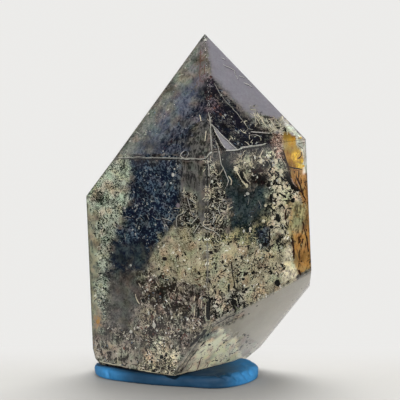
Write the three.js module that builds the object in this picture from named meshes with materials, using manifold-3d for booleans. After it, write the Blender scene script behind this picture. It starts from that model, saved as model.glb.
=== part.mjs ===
// A garden quartz point: one clear crystal, cut and polished to six roof faces over six upright
// faces and one slanting foot face, held upright by a pressed pad of blue putty.

import * as THREE from "three";
import { mergeVertices } from "three/addons/utils/BufferGeometryUtils.js";
import Module from "manifold-3d";

const wasm = await Module();
wasm.setup();

// Driving dimensions, in millimetres. The origin is on the surface that the pad lies on, under the
// middle of the crystal. +Z is up, +X is to the right of the front, and the front looks along -Y.
const crystalHeight = 50;
const footHeight = 1.6; // the crystal's flat foot above the surface
const heart = new THREE.Vector3(0.17, -0.06, 26.76); // a face's reach is measured from here
const tip = new THREE.Vector3(0.87, 3.19, footHeight + crystalHeight);
const puttyGap = 0.3; // between the crystal and the pad
const blockSize = 120; // the rough block that the faces are cut from, well over the crystal's size

// A face looks along its azimuth, in degrees from the front and growing to the right, and its slope,
// in degrees, over 0 for a face that looks up. Six roof faces meet at the tip.
const roofFaces = [
  { side: "front left", azimuth: -31.6, slope: 34.8 },
  { side: "front right", azimuth: 26.1, slope: 38.2 },
  { side: "right", azimuth: 95, slope: 42 },
  { side: "back right", azimuth: 153, slope: 38 },
  { side: "back left", azimuth: -149, slope: 37 },
  { side: "left", azimuth: -86.4, slope: 36.4 },
];

// Six upright faces, near enough to a turned hexagon, and the foot face ground away at the lower right.
const sideFaces = [
  { side: "front left", azimuth: -31.5, slope: -3.3, reach: 9.1 },
  { side: "front right", azimuth: 30.4, slope: -2.6, reach: 10.2 },
  { side: "right", azimuth: 91.9, slope: 3.6, reach: 15.85 },
  { side: "back right", azimuth: 152.9, slope: -0.4, reach: 9.25 },
  { side: "back left", azimuth: -149, slope: 0.5, reach: 11.5 },
  { side: "left", azimuth: -89.4, slope: -1.7, reach: 16.95 },
  { side: "slanting foot", azimuth: 46.5, slope: -37.2, reach: 16.7 },
];

// Worn corners, each a small flat through a point of its own.
const wornCorners = [
  { corner: "lower left, upper turn", azimuth: -84, slope: -14, through: [-16.05, 1, 3.7] },
  { corner: "lower left, lower turn", azimuth: -80, slope: -38, through: [-15.75, 1, 2.5] },
  { corner: "lower right", azimuth: 96, slope: -52, through: [8.75, 5, 2.6] },
];

// The pad's outline on the surface, from its left end round the front, and its thickness.
const padOutline = [
  [-16.1, 1.6],
  [-14.9, -2],
  [-8.4, -5.8],
  [-2.5, -7.5],
  [3, -8.5],
  [7, -6],
  [9.2, -1.5],
  [7.9, 1.9],
  [4.4, 6.6],
  [-2, 9.8],
  [-9, 9.6],
  [-14.4, 6.2],
];
const padThickness = 1.9; // at the left end
const padLipThickness = 2.3; // at the right end, where the putty is squeezed out in a lobe
const padEdgeRound = 0.8;

const quartz = new THREE.MeshStandardMaterial({ color: 0xc9ccc4, roughness: 0.05, metalness: 0 });
const putty = new THREE.MeshStandardMaterial({ color: 0x2f86c4, roughness: 0.55, metalness: 0 });

// The outward direction of a face.
function outward({ azimuth, slope }) {
  const a = THREE.MathUtils.degToRad(azimuth);
  const s = THREE.MathUtils.degToRad(slope);
  return new THREE.Vector3(Math.sin(a) * Math.cos(s), -Math.cos(a) * Math.cos(s), Math.sin(s));
}

// A closed geometry as a solid for cutting and joining.
function solidOf(geometry) {
  const bare = geometry.clone();
  bare.deleteAttribute("normal");
  bare.deleteAttribute("uv");
  const merged = mergeVertices(bare, 1e-4);
  return new wasm.Manifold(
    new wasm.Mesh({
      numProp: 3,
      vertProperties: new Float32Array(merged.attributes.position.array),
      triVerts: new Uint32Array(merged.index.array),
    }),
  );
}

// A solid as a geometry with flat-shaded faces.
function geometryOf(solid) {
  const { vertProperties, triVerts } = solid.getMesh();
  const shared = new THREE.BufferGeometry();
  shared.setAttribute("position", new THREE.BufferAttribute(vertProperties, 3));
  shared.setIndex(new THREE.BufferAttribute(triVerts, 1));
  const flat = shared.toNonIndexed();
  flat.computeVertexNormals();
  return flat;
}

// A block that takes away everything past a plane.
function blockBeyond(normal, point) {
  const block = new THREE.BoxGeometry(blockSize, blockSize, blockSize);
  block.applyQuaternion(new THREE.Quaternion().setFromUnitVectors(new THREE.Vector3(0, 0, 1), normal));
  const middle = point.clone().addScaledVector(normal, blockSize / 2);
  return solidOf(block.translate(middle.x, middle.y, middle.z));
}

// The crystal with all its faces moved outwards by the clearance.
function crystalSolid(clearance) {
  const rough = new THREE.BoxGeometry(blockSize, blockSize, blockSize);
  let crystal = solidOf(rough.translate(heart.x, heart.y, heart.z));
  const cut = (normal, point) => {
    crystal = crystal.subtract(blockBeyond(normal, point.clone().addScaledVector(normal, clearance)));
  };
  for (const face of roofFaces) {
    cut(outward(face), tip);
  }
  for (const face of sideFaces) {
    cut(outward(face), heart.clone().addScaledVector(outward(face), face.reach));
  }
  for (const corner of wornCorners) {
    cut(outward(corner), new THREE.Vector3(...corner.through));
  }
  cut(new THREE.Vector3(0, 0, -1), new THREE.Vector3(0, 0, footHeight));
  return crystal;
}

// The putty: a flat-bottomed slab with a rounded edge that thickens to the right, with the
// crystal's foot pressed into it.
function padSolid() {
  const route = new THREE.CatmullRomCurve3(
    padOutline.map(([x, y]) => new THREE.Vector3(x, y, 0)),
    true,
  );
  const outline = route.getPoints(66).slice(0, -1);
  const slab = new THREE.ExtrudeGeometry(new THREE.Shape(outline), {
    depth: padThickness - 2 * padEdgeRound,
    bevelThickness: padEdgeRound,
    bevelSize: padEdgeRound,
    bevelOffset: -padEdgeRound,
    bevelSegments: 3,
  });
  slab.translate(0, 0, padEdgeRound);
  const position = slab.getAttribute("position");
  for (let i = 0; i < position.count; i++) {
    const toRight = THREE.MathUtils.smoothstep(position.getX(i), -6, 8);
    const thickness = THREE.MathUtils.lerp(padThickness, padLipThickness, toRight);
    position.setZ(i, (position.getZ(i) * thickness) / padThickness);
  }
  return solidOf(slab).subtract(crystalSolid(puttyGap));
}

const crystalMesh = new THREE.Mesh(geometryOf(crystalSolid(0)), quartz);
crystalMesh.name = "quartz_point";

const padMesh = new THREE.Mesh(geometryOf(padSolid()), putty);
padMesh.name = "putty_pad";

const group = new THREE.Group();
group.add(crystalMesh, padMesh);

export default group;
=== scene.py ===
import math
import random

import bmesh
import bpy
import numpy as np
from mathutils import Matrix, Vector, noise


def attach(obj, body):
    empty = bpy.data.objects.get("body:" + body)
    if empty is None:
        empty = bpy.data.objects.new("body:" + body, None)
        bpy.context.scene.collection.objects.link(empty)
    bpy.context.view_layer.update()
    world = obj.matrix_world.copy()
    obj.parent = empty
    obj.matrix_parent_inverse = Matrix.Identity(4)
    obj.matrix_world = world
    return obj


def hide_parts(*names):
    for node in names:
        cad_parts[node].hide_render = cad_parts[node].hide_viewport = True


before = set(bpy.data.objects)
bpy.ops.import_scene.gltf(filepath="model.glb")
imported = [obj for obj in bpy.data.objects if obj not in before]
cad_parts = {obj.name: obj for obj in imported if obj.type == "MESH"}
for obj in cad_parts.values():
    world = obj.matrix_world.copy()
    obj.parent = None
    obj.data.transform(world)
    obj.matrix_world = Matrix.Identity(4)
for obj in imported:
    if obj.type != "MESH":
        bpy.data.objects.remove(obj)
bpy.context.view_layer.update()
mm = 0.001

# How the photograph sees the point: the camera looks level with the crystal's middle, a little from above
photo = {
    "side": 400,  # pixels across and down
    "lookAt": Vector((0.17, -0.06, 26.76)) * mm,
    "pitch": math.radians(4.91),
    "distance": 166.3 * mm,
    "focal": 1112.2,  # in pixels
    "sensor": 36,  # its width in mm
    "clip": (0.01, 5),  # nearest and furthest that the camera sees, in m
    "pixelSize": 0.15 * mm,  # what one pixel covers on the crystal
}
forward = np.array([0, math.cos(photo["pitch"]), -math.sin(photo["pitch"])])
upward = np.array([0, math.sin(photo["pitch"]), math.cos(photo["pitch"])])

# First seeds of the random draws and of the noises
drawSeeds = {"grains": 0, "strands": 3, "veins": 5, "spots": 9, "threads": 20}
noiseSeeds = {"warps": 0, "lumps": 2, "dents": 11, "blotches": 31, "shade": 41, "hues": 51, "clusters": 61}


def placeCamera():
    data = bpy.data.cameras.new("photoCamera")
    data.sensor_width = photo["sensor"]
    data.lens = photo["focal"] / photo["side"] * photo["sensor"]
    data.clip_start, data.clip_end = photo["clip"]
    camera = bpy.data.objects.new("photoCamera", data)
    camera.location = photo["lookAt"] - Vector(forward) * photo["distance"]
    camera.rotation_euler = (math.pi / 2 - photo["pitch"], 0, 0)
    bpy.context.scene.collection.objects.link(camera)
    bpy.context.scene.camera = camera
    print("camera placed")
    return np.array(camera.location)


def linear(red, green, blue):
    # an sRGB colour of the photograph as the shaders take it
    values = np.array([red, green, blue]) / 255
    return np.where(values < 0.04045, values / 12.92, ((values + 0.055) / 1.055) ** 2.4)


def newMaterial(name, settings):
    material = bpy.data.materials.new(name)
    material.use_nodes = True
    tree = material.node_tree
    shader = tree.nodes["Principled BSDF"]
    for key, value in settings.items():
        shader.inputs[key].default_value = value
    return material, tree, shader


def addNode(tree, kind, **settings):
    node = tree.nodes.new(kind)
    for key, value in settings.items():
        if hasattr(node, key):
            setattr(node, key, value)
        else:
            node.inputs[key].default_value = value
    return node


def feed(tree, value, socket):
    # another node's output is linked, a plain value is set
    if isinstance(value, bpy.types.NodeSocket):
        tree.links.new(value, socket)
    else:
        socket.default_value = value


def placesIn(tree):
    # where on the object a point lies
    return addNode(tree, "ShaderNodeTexCoord").outputs["Object"]


def attributeOf(tree, name):
    return addNode(tree, "ShaderNodeAttribute", attribute_name=name).outputs


def textured(tree, places, **settings):
    texture = addNode(tree, "ShaderNodeTexNoise", **settings)
    tree.links.new(places, texture.inputs["Vector"])
    return texture.outputs["Fac"]


def axesOf(tree, source):
    split = addNode(tree, "ShaderNodeSeparateXYZ")
    tree.links.new(source, split.inputs[0])
    return split.outputs


def mixed(tree, kind, factor, first, second):
    # kind is FLOAT or RGBA
    mix = addNode(tree, "ShaderNodeMix", data_type=kind)
    for name, value in (("Factor", factor), ("A", first), ("B", second)):
        feed(tree, value, mix.inputs[name])
    return mix.outputs["Result"]


def mapped(tree, source, fromMin, fromMax, toMin, toMax, smooth=False):
    node = addNode(tree, "ShaderNodeMapRange", interpolation_type="SMOOTHSTEP" if smooth else "LINEAR")
    names = ("Value", "From Min", "From Max", "To Min", "To Max")
    for name, value in zip(names, (source, fromMin, fromMax, toMin, toMax)):
        feed(tree, value, node.inputs[name])
    return node.outputs["Result"]


def combined(tree, operation, first, second):
    node = addNode(tree, "ShaderNodeMath", operation=operation)
    for socket, value in zip(node.inputs, (first, second)):
        feed(tree, value, socket)
    return node.outputs[0]


def stepped(tree, source, middle, half):
    # 0 well under the middle and 1 well over it
    low = combined(tree, "SUBTRACT", middle, half)
    high = combined(tree, "ADD", middle, half)
    return mapped(tree, source, low, high, 0, 1, smooth=True)


def finishPiece(piece, slot, *nodes):
    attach(piece, "root")
    if nodes:
        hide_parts(*nodes)
    print(piece.name, "made:", len(piece.data.polygons), "faces")


def linked(name, data):
    piece = bpy.data.objects.new(name, data)
    bpy.context.scene.collection.objects.link(piece)
    return piece


def linkMesh(name, shape, *materials):
    mesh = bpy.data.meshes.new(name)
    shape.to_mesh(mesh)
    shape.free()
    for material in materials:
        mesh.materials.append(material)
    return linked(name, mesh)


def meshOf(piece):
    # the mesh of a piece or curve with its modifiers applied
    return bpy.data.meshes.new_from_object(piece.evaluated_get(bpy.context.evaluated_depsgraph_get()))


def applied(piece):
    mesh = meshOf(piece)
    piece.modifiers.clear()
    piece.data = mesh
    return mesh


def addRemesh(piece, voxel):
    remesh = piece.modifiers.new("even", "REMESH")
    remesh.mode = "VOXEL"
    remesh.voxel_size = voxel


def verticesOf(mesh):
    points = np.empty(len(mesh.vertices) * 3)
    facing = np.empty(len(mesh.vertices) * 3)
    mesh.vertices.foreach_get("co", points)
    mesh.vertices.foreach_get("normal", facing)
    return points.reshape(-1, 3), facing.reshape(-1, 3)


def moveVertices(mesh, points):
    mesh.vertices.foreach_set("co", points.ravel())
    mesh.polygons.foreach_set("use_smooth", np.ones(len(mesh.polygons), bool))
    mesh.update()


def dented(made, draw, reach, radius):
    # the vertices of a small grain, each pushed a random way
    for vert in made["verts"]:
        vert.co += Vector([draw.uniform(-reach, reach) for axis in range(3)]) * radius


def noiseAt(points, size, seed):
    offset = Vector((7.3, 3.1, 5.7)) * seed  # another stretch of the noise for each seed
    return np.array([noise.noise(Vector(point) / size + offset) for point in points])


# The clear crystal, over the CAD solid's own faces
crystal = {
    "mergeWithin": 0.002 * mm,
    "flatWithin": math.radians(0.2),
    "edgeWidth": 0.05 * mm,
    "edgeSegments": 2,
    "faceMatch": 0.9999,  # a face that turns away further from the CAD's is a worn edge
    "ior": 1.544,
    "absorption": (0.86, 0.88, 0.86),
    "density": 8.0,
    "edgeTint": (0.35, 0.35, 0.34),
    "edgeClear": 0.94,  # how much of a worn edge still lets light through
    "edgeRoughness": 0.25,
}


def mergedCopy(node):
    shape = bmesh.new()
    shape.from_mesh(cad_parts[node].data)
    bmesh.ops.remove_doubles(shape, verts=shape.verts, dist=crystal["mergeWithin"])
    bmesh.ops.dissolve_limit(shape, angle_limit=crystal["flatWithin"], verts=shape.verts, edges=shape.edges)
    bmesh.ops.recalc_face_normals(shape, faces=shape.faces)
    return shape


def quartzMaterial(name, tint, clear, roughness):
    settings = {
        "Base Color": (*tint, 1),
        "Transmission Weight": clear,
        "IOR": crystal["ior"],
        "Roughness": roughness,
    }
    material, tree = newMaterial(name, settings)[:2]
    absorb = addNode(
        tree, "ShaderNodeVolumeAbsorption", Color=(*crystal["absorption"], 1), Density=crystal["density"]
    )
    tree.links.new(absorb.outputs["Volume"], tree.nodes["Material Output"].inputs["Volume"])
    return material


def crystalPlanes():
    # outward direction and reach of each face of the crystal
    shape = mergedCopy("quartz_point")
    normals = np.array([list(face.normal) for face in shape.faces])
    reaches = np.array([face.normal.dot(face.verts[0].co) for face in shape.faces])
    shape.free()
    return normals, reaches


def makeCrystal():
    shape = mergedCopy("quartz_point")
    bmesh.ops.bevel(
        shape,
        geom=shape.edges[:],
        affect="EDGES",
        offset=crystal["edgeWidth"],
        segments=crystal["edgeSegments"],
        profile=0.5,
        material=-1,
    )
    for face in shape.faces:
        onPlane = (planes[0] @ np.array(face.normal)).max() > crystal["faceMatch"]
        face.material_index = 0 if onPlane else 1
    piece = linkMesh(
        "crystal",
        shape,
        quartzMaterial("clearQuartz", (1, 1, 1), 1, 0),
        quartzMaterial("wornEdge", crystal["edgeTint"], crystal["edgeClear"], crystal["edgeRoughness"]),
    )
    finishPiece(piece, "quartz", "quartz_point")


# Sight: where in the photograph a point inside the crystal is seen, and the way back
sight = {
    "seenFrom": -0.05,  # faces that are turned further away aren't looked through
    "drawnFrom": -0.01,
    "pastFace": 0.3 * mm,  # how far beyond a face's edge light still counts as coming in through it
    "roofFrom": 0.3,
    "roofShare": 0.55,  # what lies under a roof face is closer to it
}


def projected(points):
    ray = points - eye
    depth = ray @ forward
    across = photo["side"] / 2 + photo["focal"] * ray[:, 0] / depth
    down = photo["side"] / 2 - photo["focal"] * (ray @ upward) / depth
    return np.stack([across, down], 1)


def bent(incoming, normal):
    # incoming directions after they pass into the quartz
    ratio = 1 / crystal["ior"]
    cosIn = -(incoming @ normal)
    cosOut = np.sqrt(1 - ratio**2 * (1 - cosIn**2))
    return incoming * ratio + (ratio * cosIn - cosOut)[:, None] * normal


def whereSeen(points):
    normals, reaches = planes
    seen = projected(points)
    best = np.full(len(points), np.inf)
    incoming = points - eye
    incoming /= np.linalg.norm(incoming, axis=1)[:, None]
    for normal, reach in zip(normals, reaches):
        if normal @ forward > sight["seenFrom"]:
            continue
        inside = bent(incoming, normal)
        path = (reach - points @ normal) / -(inside @ normal)
        entry = points - inside * path[:, None]
        beyond = np.max(entry @ normals.T - reaches, axis=1)
        good = (beyond < sight["pastFace"]) & (path < best)
        seen[good] = projected(entry)[good]
        best[good] = path[good]
    return seen


def under(pixel, depth):
    # the point seen at a pixel, so deep inside the crystal along the bent line of sight
    normals, reaches = planes
    across = (pixel[0] - photo["side"] / 2) / photo["focal"]
    down = (pixel[1] - photo["side"] / 2) / photo["focal"]
    ray = forward + across * np.array([1, 0, 0]) - down * upward
    ray /= np.linalg.norm(ray)
    facing = normals @ ray < sight["drawnFrom"]
    paths = (reaches[facing] - normals[facing] @ eye) / (normals[facing] @ ray)
    first = np.argmax(paths)
    face = normals[facing][first]
    shallow = sight["roofShare"] if face[2] > sight["roofFrom"] else 1
    return Vector(eye + ray * paths[first] + bent(ray[None, :], face)[0] * depth * shallow)


# Colours of the minerals in the garden, as sRGB
minerals = {
    "navy": (8, 20, 42),
    "steel": (86, 106, 122),
    "ink": (13, 12, 28),
    "plum": (46, 22, 38),
    "mauve": (140, 128, 136),
    "lavender": (127, 124, 132),
    "paleLavender": (143, 141, 148),
    "oliveGrey": (90, 95, 90),
    "paleOlive": (148, 151, 143),
    "slate": (62, 70, 90),
    "paleSlate": (114, 120, 134),
    "moss": (24, 36, 28),
    "paleMoss": (192, 199, 180),
    "umber": (36, 30, 26),
    "soot": (10, 8, 7),
    "taupe": (142, 134, 124),
    "dust": (168, 158, 144),
    "stone": (112, 110, 106),
    "graphite": (42, 42, 42),
    "bone": (188, 184, 170),
    "cream": (184, 177, 150),
    "paleCream": (226, 218, 190),
    "straw": (178, 172, 128),
    "khaki": (80, 74, 50),
    "rose": (198, 168, 152),
    "sage": (158, 156, 132),
    "bottle": (18, 32, 34),
    "pewter": (62, 74, 76),
    "oxblood": (36, 8, 9),
    "brownRed": (108, 68, 54),
    "bark": (48, 22, 8),
    "ochre": (180, 134, 70),
    "amber": (168, 132, 46),
    "deepAmber": (150, 106, 36),
    "white": (236, 234, 228),
    "smoke": (156, 151, 139),
    "paleSmoke": (164, 159, 147),
    "footCream": (238, 230, 206),
    # the iron stain's yellow, brightened as a painted glow where light shines through it
    "stainGlowYellow": (236, 198, 56),
    "shardGrey": (138, 136, 142),
    "veinWhite": (200, 198, 188),
    "veinGrey": (158, 156, 146),
}
tintNames = ("dark", "light", "accent")
numberNames = ("share", "coarse", "crisp", "depth", "worm", "streak", "accentShare", "blob")


# share and accentShare count light and accent grains; coarse and blob run from fine grains to coarse ones;
# crisp sharpens the grains, worm curls them and streak draws them out upright; depth is in mm below the
# rest, soft is the width of the border in pixels, ragged how much noise bends it
def zone(outline, tints, share, coarse, crisp, depth, soft, accentShare=0, blob=0.5, worm=0, streak=0,
         ragged=1.2):
    area = {name: linear(*minerals[tint]) for name, tint in zip(tintNames, tints)}
    numbers = (share, coarse, crisp, depth, worm, streak, accentShare, blob)
    area.update(zip(numberNames, numbers), outline=outline, soft=soft, ragged=ragged)
    return area


# The zones of the garden, outlined in pixels of the photograph where each is seen, with their dark, light
# and accent minerals; a later zone lies over the earlier ones
zones = {
    "roofHaze": zone(
        [(204, 34), (190, 90), (170, 125), (150, 157), (115, 157)],
        ("oliveGrey", "paleOlive", "bone"), 0.5, 0.1, 0.4, 0, 7, 0.12, 0, streak=0.4),
    "roofSlate": zone(
        [(200, 66), (206, 82), (190, 108), (166, 136), (144, 158), (131, 158), (161, 114), (186, 82)],
        ("slate", "paleSlate", "stone"), 0.54, 0.2, 0.6, 0.5, 8, 0.2, 0.2, streak=0.6),
    "roofNavy": zone(
        [(206, 84), (189, 105), (165, 133), (142, 158), (192, 158), (208, 120)],
        ("navy", "paleSlate", "plum"), 0.38, 0.4, 0.5, 1.0, 5, 0.28, 0.6, streak=0.6),
    "roofStriated": zone(
        [(188, 128), (207, 116), (208, 158), (186, 158)],
        ("graphite", "stone", "soot"), 0.42, 0.1, 0.7, 0.5, 4, 0.25, 0.3, streak=0.9),
    "tipRust": zone(
        [(201, 44), (207, 55), (209, 84), (197, 86), (195, 60)],
        ("stone", "mauve", "brownRed"), 0.45, 0.2, 0.5, 0.1, 5, 0.4, 0.3, streak=1),
    # under the clear roof the garden is painted the smooth lavender grey of light seen through clear quartz
    "clearRoofPaintedLight": zone(
        [(205, 30), (316, 142), (286, 136), (262, 127), (212, 76)],
        ("lavender", "paleLavender", "lavender"), 0.5, 0.5, 0, 0, 3, ragged=0.3),
    "phantom": zone(
        [(209, 78), (262, 130), (273, 138), (272, 150), (240, 156), (212, 153)],
        ("ink", "stone", "navy"), 0.26, 0.4, 0.9, 0.4, 3, 0.4, 0.8, worm=0.35, streak=0.2),
    "phantomApex": zone(
        [(206, 74), (214, 80), (226, 108), (208, 116), (202, 90)],
        ("ink", "mauve", "plum"), 0.24, 0.4, 0.8, 0.2, 4, 0.4, 0.6, worm=0.3),
    "raggedLight": zone(
        [(250, 108), (290, 122), (290, 137), (262, 131)],
        ("umber", "bone", "taupe"), 0.56, 0.3, 1, 0, 2, 0.25, 0.4, worm=0.4, streak=0.6),
    # chips along the right shoulder, their white partly their own and partly painted glints
    "whiteChipsAndGlints": zone(
        [(283, 117), (304, 137), (301, 143), (288, 131)],
        ("stone", "white", "taupe"), 0.6, 0.4, 1, 0, 1.5, 0.3, 0.4, worm=0.4, ragged=0.6),
    "mossEdge": zone(
        [(76, 190), (98, 186), (101, 240), (100, 300), (101, 335), (80, 335)],
        ("oliveGrey", "sage", "moss"), 0.66, 0.2, 0.6, 0, 3, 0.2, 0.3, streak=0.5),
    "mossStrip": zone(
        [(112, 157), (131, 157), (130, 200), (113, 240), (107, 310), (101, 330), (97, 300), (98, 240),
         (94, 210), (80, 196)],
        ("moss", "paleMoss", "oliveGrey"), 0.56, 0.15, 1, 0, 2, 0.25, 0.2, worm=0.55),
    "mossTop": zone(
        [(112, 157), (131, 157), (130, 200), (112, 216), (94, 206), (84, 194)],
        ("moss", "paleMoss", "oliveGrey"), 0.47, 0.3, 1, 0, 2, 0.25, 0.2, worm=0.5),
    "navyPanel": zone(
        [(131, 158), (182, 158), (180, 196), (177, 216), (166, 232), (150, 252), (134, 268), (112, 284),
         (106, 280), (113, 240), (129, 200)],
        ("navy", "steel", "ink"), 0.26, 0.1, 0.9, 1.2, 3, 0.26, 0.8, worm=0.15, ragged=1.8),
    "navySmooth": zone(
        [(110, 244), (138, 244), (148, 256), (136, 286), (110, 292)],
        ("navy", "pewter", "ink"), 0.4, 0.8, 0.4, 1.3, 5, 0.3, 0.9),
    "greyStriated": zone(
        [(177, 158), (208, 158), (208, 198), (190, 206), (178, 190)],
        ("graphite", "stone", "umber"), 0.6, 0.1, 0.8, 0.7, 9, 0.2, 0.2, streak=0.8),
    "wormsLeft": zone(
        [(182, 190), (198, 194), (200, 234), (176, 228)],
        ("soot", "bone", "soot"), 0.17, 0.2, 1, 0.4, 4, 0.15, 0.3, worm=0.8),
    "creamLeft": zone(
        [(171, 229), (208, 235), (208, 290), (172, 284), (147, 276), (152, 254), (162, 240)],
        ("khaki", "cream", "brownRed"), 0.72, 0.4, 1, 0.1, 5, 0.27, 0.35, worm=0.65, ragged=2.2),
    "darkGrey": zone(
        [(108, 276), (148, 272), (208, 292), (208, 340), (160, 350), (130, 346), (108, 330)],
        ("umber", "dust", "plum"), 0.38, 0.4, 1, 0.4, 6, 0.36, 0.5, worm=0.35, streak=0.4, ragged=1.8),
    "smokyLeft": zone(
        [(108, 276), (134, 272), (140, 300), (126, 330), (108, 325)],
        ("graphite", "stone", "umber"), 0.5, 0.5, 0.2, 1, 6, 0.1, 0.5),
    "lowerLeft": zone(
        [(84, 336), (140, 346), (144, 374), (90, 374)],
        ("umber", "dust", "brownRed"), 0.62, 0.3, 0.9, 0.1, 5, 0.22, 0.5, worm=0.1, streak=0.4),
    "rustSpot": zone(
        [(95, 317), (101, 316), (102, 327), (96, 327)],
        ("taupe", "ochre", "straw"), 0.6, 0.3, 0.5, 0, 2.5, 0.25, 0.4),
    "creamSpotted": zone(
        [(158, 334), (180, 350), (176, 380), (138, 374), (146, 354)],
        ("umber", "paleCream", "soot"), 0.5, 0.3, 1, 0, 4, 0.26, 0.3, worm=0.55),
    "slatePool": zone(
        [(219, 153), (229, 155), (240, 172), (250, 190), (272, 178), (275, 206), (258, 226), (236, 236),
         (228, 215), (224, 180)],
        ("bottle", "pewter", "navy"), 0.46, 0.3, 0.7, 1.4, 4, 0.35, 0.7, worm=0.1),
    "beige": zone(
        [(236, 156), (266, 153), (264, 168), (248, 186), (237, 170)],
        ("umber", "cream", "khaki"), 0.44, 0.35, 1, 0.2, 3, 0.25, 0.4, worm=0.35, streak=0.4),
    "darkRed": zone(
        [(250, 168), (270, 164), (270, 184), (256, 186)],
        ("soot", "oxblood", "dust"), 0.4, 0.5, 1, 0.6, 3, 0.25, 0.4, worm=0.4),
    "creamBlack": zone(
        [(264, 150), (284, 150), (291, 178), (302, 196), (292, 212), (292, 242), (266, 252), (252, 240),
         (272, 214), (270, 180)],
        ("soot", "paleCream", "khaki"), 0.53, 0.6, 1, 0.1, 3, 0.2, 0.4, worm=0.4),
    "redMottle": zone(
        [(272, 133), (283, 131), (286, 162), (277, 161), (273, 146)],
        ("bark", "rose", "soot"), 0.36, 0.3, 1, 0.2, 2, 0.3, 0.4, worm=0.4),
    "creamOlive": zone(
        [(208, 236), (256, 232), (284, 236), (295, 246), (296, 284), (252, 326), (207, 337)],
        ("umber", "cream", "khaki"), 0.72, 0.4, 1, 0.1, 3, 0.32, 0.3, worm=0.7),
    "paleFringe": zone(
        [(287, 244), (295, 246), (299, 277), (286, 283), (283, 268)],
        ("taupe", "paleCream", "soot"), 0.66, 0.4, 0.9, 0, 2, 0.1, 0.3, worm=0.3),
    "slateFringe": zone(
        [(206, 230), (232, 234), (254, 226), (268, 214), (270, 234), (256, 246), (236, 243), (206, 243)],
        ("bottle", "straw", "ink"), 0.42, 0.4, 1, 0.4, 4, 0.3, 0.5, worm=0.4, streak=0.3),
    "inkBlot": zone(
        [(258, 230), (270, 228), (271, 244), (263, 249), (256, 240)],
        ("ink", "steel", "soot"), 0.46, 0.3, 0.9, 0.4, 2, 0.3, 0.3, worm=0.5),
    "darkCluster": zone(
        [(210, 300), (244, 288), (244, 310), (212, 326)],
        ("soot", "bone", "umber"), 0.38, 0.5, 1, 0.4, 4, 0.2, 0.5, worm=0.3),
    "wormsRight": zone(
        [(208, 160), (216, 164), (225, 188), (232, 206), (232, 224), (216, 236), (207, 232)],
        ("soot", "bone", "soot"), 0.22, 0.2, 1, 0.4, 3, 0.1, 0.3, worm=0.85),
    "greyColumn": zone(
        [(194, 176), (207, 176), (207, 222), (203, 226), (197, 218), (196, 200)],
        ("graphite", "stone", "umber"), 0.62, 0.1, 0.4, 0.4, 2, 0.12, 0.2, streak=0.5, ragged=0.5),
    "rustTop": zone(
        [(284, 130), (300, 138), (312, 156), (312, 172), (292, 178), (287, 162), (284, 146)],
        ("deepAmber", "amber", "stainGlowYellow"), 0.55, 0.5, 0.8, 0, 1.5, 0.24, 0.6, streak=0.5, ragged=0.5),
    "rustGlow": zone(
        [(293, 155), (301, 150), (305, 158), (305, 168), (297, 170)],
        ("amber", "stainGlowYellow", "straw"), 0.55, 0.6, 0.7, 0, 2, 0.15, 0.5, ragged=0.5),
    "rustMiddle": zone(
        [(288, 168), (314, 168), (316, 216), (302, 214), (304, 200), (297, 187), (291, 178)],
        ("bark", "ochre", "brownRed"), 0.62, 0.6, 0.8, 0, 1.5, 0.2, 0.6, worm=0.1, streak=0.6, ragged=0.5),
    "rustLow": zone(
        [(292, 206), (316, 212), (318, 268), (300, 276), (294, 262), (292, 240), (289, 222)],
        ("bark", "ochre", "straw"), 0.7, 0.5, 0.7, 0, 1.5, 0.22, 0.5, worm=0.1, streak=0.8, ragged=0.5),
    "rustGreen": zone(
        [(289, 200), (305, 204), (303, 232), (291, 234)],
        ("khaki", "straw", "ochre"), 0.46, 0.4, 0.7, 0, 4, 0.3, 0.4, streak=0.5),
    # white at the right corner, over the rust stain: painted glints
    "whiteCorner": zone(
        [(297, 141), (309, 136), (312, 172), (304, 174), (303, 156)],
        ("smoke", "white", "ochre"), 0.6, 0.5, 0.6, 0, 1.5, 0.2, 0.5, streak=0.6, ragged=0.4),
    # under the slanting foot the garden is painted the smooth pale grey of light seen through clear quartz
    "clearFootPaintedLight": zone(
        [(208, 330), (314, 272), (320, 290), (258, 368), (174, 386)],
        ("smoke", "paleSmoke", "smoke"), 0.5, 0.5, 0.1, 0, 0.8, ragged=0),
    "footShade": zone(
        [(206, 329), (216, 322), (244, 308), (246, 316), (222, 329), (206, 342), (186, 366), (178, 373)],
        ("graphite", "smoke", "umber"), 0.66, 0.3, 0.8, 0, 2, 0.15, 0.3, ragged=0.4),
    "creamFoot": zone(
        [(196, 350), (222, 330), (240, 336), (252, 366), (174, 390)],
        ("taupe", "footCream", "khaki"), 0.76, 0.4, 1, 0, 5, 0.15, 0.5, streak=0.2),
    "brownFoot": zone(
        [(236, 338), (247, 334), (258, 344), (248, 358), (238, 352)],
        ("taupe", "smoke", "umber"), 0.5, 0.5, 0.7, 0.1, 3, 0.35, 0.5),
}
restOfGarden = zone([], ("graphite", "taupe", "umber"), 0.5, 0.4, 0.6, 0.3, 1, worm=0.3)
zoneOrder = list(zones)


def segmentGap(pixels, start, end):
    # distance of pixels from a straight stretch
    along = end - start
    share = np.clip(((pixels - start) @ along) / (along @ along), 0, 1)
    return np.linalg.norm(pixels - start - share[:, None] * along, axis=1)


def signedDistance(pixels, outline):
    # distance to an outline in pixels, over 0 inside it
    inside = np.zeros(len(pixels), bool)
    nearest = np.full(len(pixels), np.inf)
    corners = np.array(outline, float)
    for start, end in zip(corners, np.roll(corners, -1, axis=0)):
        nearest = np.minimum(nearest, segmentGap(pixels, start, end))
        if start[1] != end[1]:
            crossing = start[0] + (end[0] - start[0]) * (pixels[:, 1] - start[1]) / (end[1] - start[1])
            between = (start[1] > pixels[:, 1]) != (end[1] > pixels[:, 1])
            inside ^= between & (pixels[:, 0] < crossing)
    return np.where(inside, nearest, -nearest)


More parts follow.
